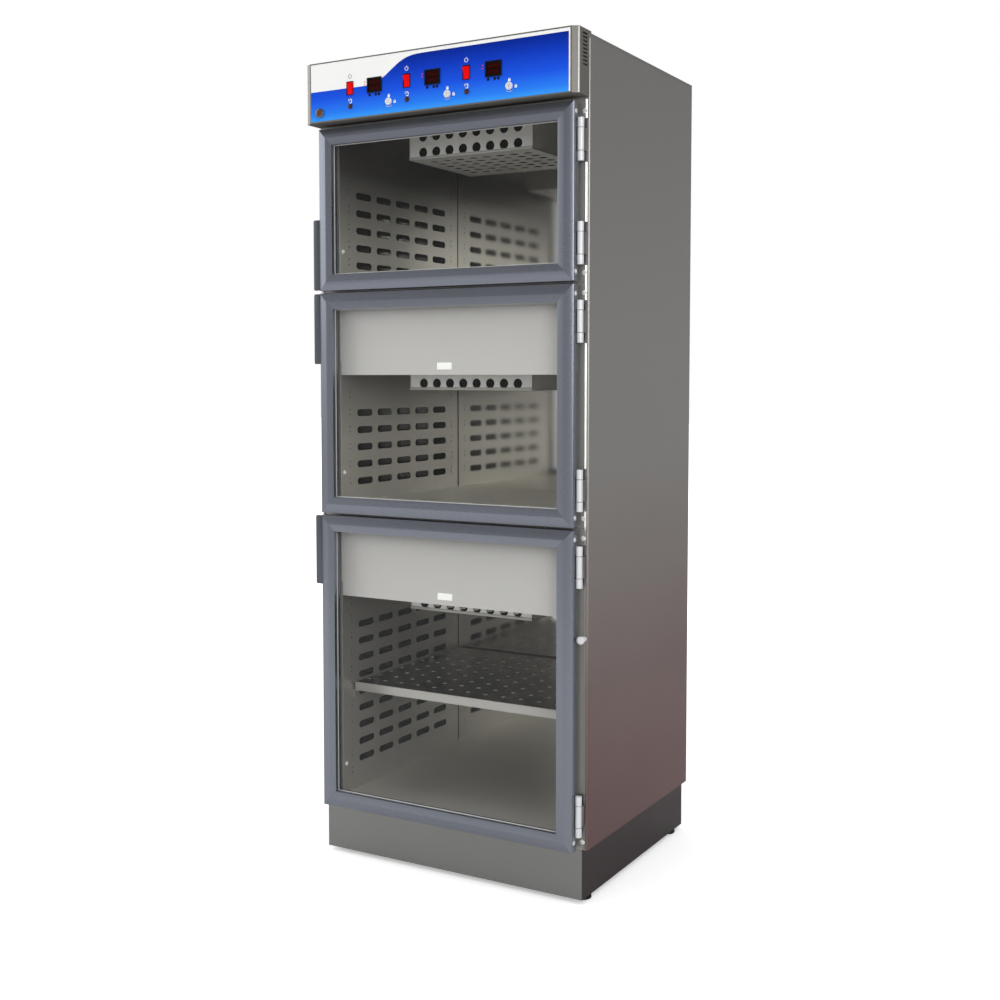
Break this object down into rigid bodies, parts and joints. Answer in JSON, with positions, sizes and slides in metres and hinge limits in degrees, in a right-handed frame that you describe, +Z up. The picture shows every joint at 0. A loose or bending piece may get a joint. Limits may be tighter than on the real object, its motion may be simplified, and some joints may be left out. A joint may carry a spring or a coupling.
{
  "type": "blanket warming cabinet",
  "caption": "Tall free-standing warming cabinet with stacked heated chambers behind hinged glass doors, slotted air ducts, blowers, and a control header.",
  "frame": {"origin": "middle of the overall footprint, on the floor", "axes": "+Z up, -Y towards the doors at the front, +X to the right as seen from the front"},
  "size_m": [0.762, 0.675, 2.006],
  "materials": {
    "painted_steel": "satin",
    "casing_steel": "satin",
    "bright_steel": "brushed",
    "liner_steel": "polished",
    "zinc_steel": "satin",
    "heater_steel": "dull",
    "anodised_aluminium": "satin",
    "dark_aluminium": "satin",
    "chrome": "polished",
    "copper": "satin",
    "brass": "satin",
    "foot_steel": "matte",
    "motor_paint": "satin",
    "light_paint": "satin",
    "blue_overlay": "satin",
    "black_plastic": "satin",
    "white_plastic": "gloss",
    "red_plastic": "gloss",
    "gasket_rubber": "matte",
    "mineral_wool": "matte",
    "door_glass": "clear"
  },
  "bodies": {
    "cabinet": {"base_plinth": "painted_steel", "side_panels": "casing_steel", "back_panel": "casing_steel", "top_cover": "casing_steel", "front_frame": "bright_steel", "insulation": "mineral_wool", "panel_screws": "bright_steel", "power_inlet": "black_plastic", "door_stop": "chrome", "liner_lower": "liner_steel", "liner_middle": "liner_steel", "liner_upper": "liner_steel", "duct_panels": "liner_steel", "intake_boxes": "liner_steel", "temperature_probes": "white_plastic", "motor_bridges": "zinc_steel", "blower_motors": "motor_paint", "strip_heaters": "heater_steel", "blower_covers": "light_paint", "shelf_clips": "liner_steel", "frame_hinges": "bright_steel", "header_box": "anodised_aluminium", "control_overlay": "blue_overlay", "rocker_housings": "black_plastic", "temperature_controllers": "black_plastic", "reset_collars": "copper", "lock_barrels": "chrome"},
    "shelf": {"shelf": "liner_steel"},
    "panel_lock": {"panel_lock": "brass"},
    "door_lower": {"door_frame_lower": "anodised_aluminium", "door_glass_lower": "door_glass", "door_gasket_lower": "gasket_rubber", "door_pull_lower": "dark_aluminium", "door_hinges_lower": "bright_steel"},
    "door_middle": {"door_frame_middle": "anodised_aluminium", "door_glass_middle": "door_glass", "door_gasket_middle": "gasket_rubber", "door_pull_middle": "dark_aluminium", "door_hinges_middle": "bright_steel"},
    "door_upper": {"door_frame_upper": "anodised_aluminium", "door_glass_upper": "door_glass", "door_gasket_upper": "gasket_rubber", "door_pull_upper": "dark_aluminium", "door_hinges_upper": "bright_steel"},
    "power_rocker_upper": {"power_rocker_upper": "red_plastic"},
    "key_switch_upper": {"key_switch_upper": "chrome"},
    "reset_button_upper": {"reset_button_upper": "copper"},
    "power_rocker_middle": {"power_rocker_middle": "red_plastic"},
    "key_switch_middle": {"key_switch_middle": "chrome"},
    "reset_button_middle": {"reset_button_middle": "copper"},
    "power_rocker_lower": {"power_rocker_lower": "red_plastic"},
    "key_switch_lower": {"key_switch_lower": "chrome"},
    "reset_button_lower": {"reset_button_lower": "copper"},
    "blower_wheel_lower": {"blower_wheel_lower": "zinc_steel"},
    "blower_wheel_middle": {"blower_wheel_middle": "zinc_steel"},
    "blower_wheel_upper": {"blower_wheel_upper": "zinc_steel"},
    "foot_front_left": {"foot_front_left": "foot_steel"},
    "foot_front_right": {"foot_front_right": "foot_steel"},
    "foot_rear_left": {"foot_rear_left": "foot_steel"},
    "foot_rear_right": {"foot_rear_right": "foot_steel"}
  },
  "joints": [
    {"name": "door_lower_hinge", "type": "hinge", "parent": "cabinet", "child": "door_lower", "pos_m": [0.3675, -0.294, 0.507], "axis": [0, 0, 1], "range_deg": [0, 98]},
    {"name": "door_middle_hinge", "type": "hinge", "parent": "cabinet", "child": "door_middle", "pos_m": [0.3675, -0.294, 1.165], "axis": [0, 0, 1], "range_deg": [0, 120]},
    {"name": "door_upper_hinge", "type": "hinge", "parent": "cabinet", "child": "door_upper", "pos_m": [0.3675, -0.294, 1.6485], "axis": [0, 0, 1], "range_deg": [0, 120]},
    {"name": "shelf_lift", "type": "slide", "parent": "cabinet", "child": "shelf", "axis": [0, 0, 1], "range_m": [0, 0.04]},
    {"name": "power_rocker_upper_tilt", "type": "hinge", "parent": "cabinet", "child": "power_rocker_upper", "pos_m": [-0.241, -0.3295, 1.9345], "axis": [1, 0, 0], "range_deg": [-14, 0]},
    {"name": "key_switch_upper_turn", "type": "hinge", "parent": "cabinet", "child": "key_switch_upper", "pos_m": [-0.1265, -0.3375, 1.891], "axis": [0, 1, 0], "range_deg": [0, 90]},
    {"name": "reset_button_upper_press", "type": "slide", "parent": "cabinet", "child": "reset_button_upper", "axis": [0, 1, 0], "range_m": [0, 0.0015], "stiffness_N_per_m": 200, "springref_m": -0.001},
    {"name": "power_rocker_middle_tilt", "type": "hinge", "parent": "cabinet", "child": "power_rocker_middle", "pos_m": [-0.075, -0.3295, 1.9345], "axis": [1, 0, 0], "range_deg": [-14, 0]},
    {"name": "key_switch_middle_turn", "type": "hinge", "parent": "cabinet", "child": "key_switch_middle", "pos_m": [0.0395, -0.3375, 1.891], "axis": [0, 1, 0], "range_deg": [0, 90]},
    {"name": "reset_button_middle_press", "type": "slide", "parent": "cabinet", "child": "reset_button_middle", "axis": [0, 1, 0], "range_m": [0, 0.0015], "stiffness_N_per_m": 200, "springref_m": -0.001},
    {"name": "power_rocker_lower_tilt", "type": "hinge", "parent": "cabinet", "child": "power_rocker_lower", "pos_m": [0.091, -0.3295, 1.9345], "axis": [1, 0, 0], "range_deg": [-14, 0]},
    {"name": "key_switch_lower_turn", "type": "hinge", "parent": "cabinet", "child": "key_switch_lower", "pos_m": [0.2055, -0.3375, 1.891], "axis": [0, 1, 0], "range_deg": [0, 90]},
    {"name": "reset_button_lower_press", "type": "slide", "parent": "cabinet", "child": "reset_button_lower", "axis": [0, 1, 0], "range_m": [0, 0.0015], "stiffness_N_per_m": 200, "springref_m": -0.001},
    {"name": "panel_lock_turn", "type": "hinge", "parent": "cabinet", "child": "panel_lock", "pos_m": [-0.333, -0.3375, 1.8835], "axis": [0, 1, 0], "range_deg": [0, 90]},
    {"name": "blower_wheel_lower_spin", "type": "hinge", "parent": "cabinet", "child": "blower_wheel_lower", "pos_m": [0, -0.0175, 0.7375], "axis": [0, 0, 1], "continuous": true},
    {"name": "blower_wheel_middle_spin", "type": "hinge", "parent": "cabinet", "child": "blower_wheel_middle", "pos_m": [0, -0.0175, 1.3005], "axis": [0, 0, 1], "continuous": true},
    {"name": "blower_wheel_upper_spin", "type": "hinge", "parent": "cabinet", "child": "blower_wheel_upper", "pos_m": [0, -0.0175, 1.8795], "axis": [0, 0, 1], "continuous": true},
    {"name": "foot_front_left_turn", "type": "hinge", "parent": "cabinet", "child": "foot_front_left", "pos_m": [-0.347, -0.2265, 0.02], "axis": [0, 0, 1], "continuous": true},
    {"name": "foot_front_right_turn", "type": "hinge", "parent": "cabinet", "child": "foot_front_right", "pos_m": [0.347, -0.2265, 0.02], "axis": [0, 0, 1], "continuous": true},
    {"name": "foot_rear_left_turn", "type": "hinge", "parent": "cabinet", "child": "foot_rear_left", "pos_m": [-0.347, 0.2875, 0.02], "axis": [0, 0, 1], "continuous": true},
    {"name": "foot_rear_right_turn", "type": "hinge", "parent": "cabinet", "child": "foot_rear_right", "pos_m": [0.347, 0.2875, 0.02], "axis": [0, 0, 1], "continuous": true}
  ]
}
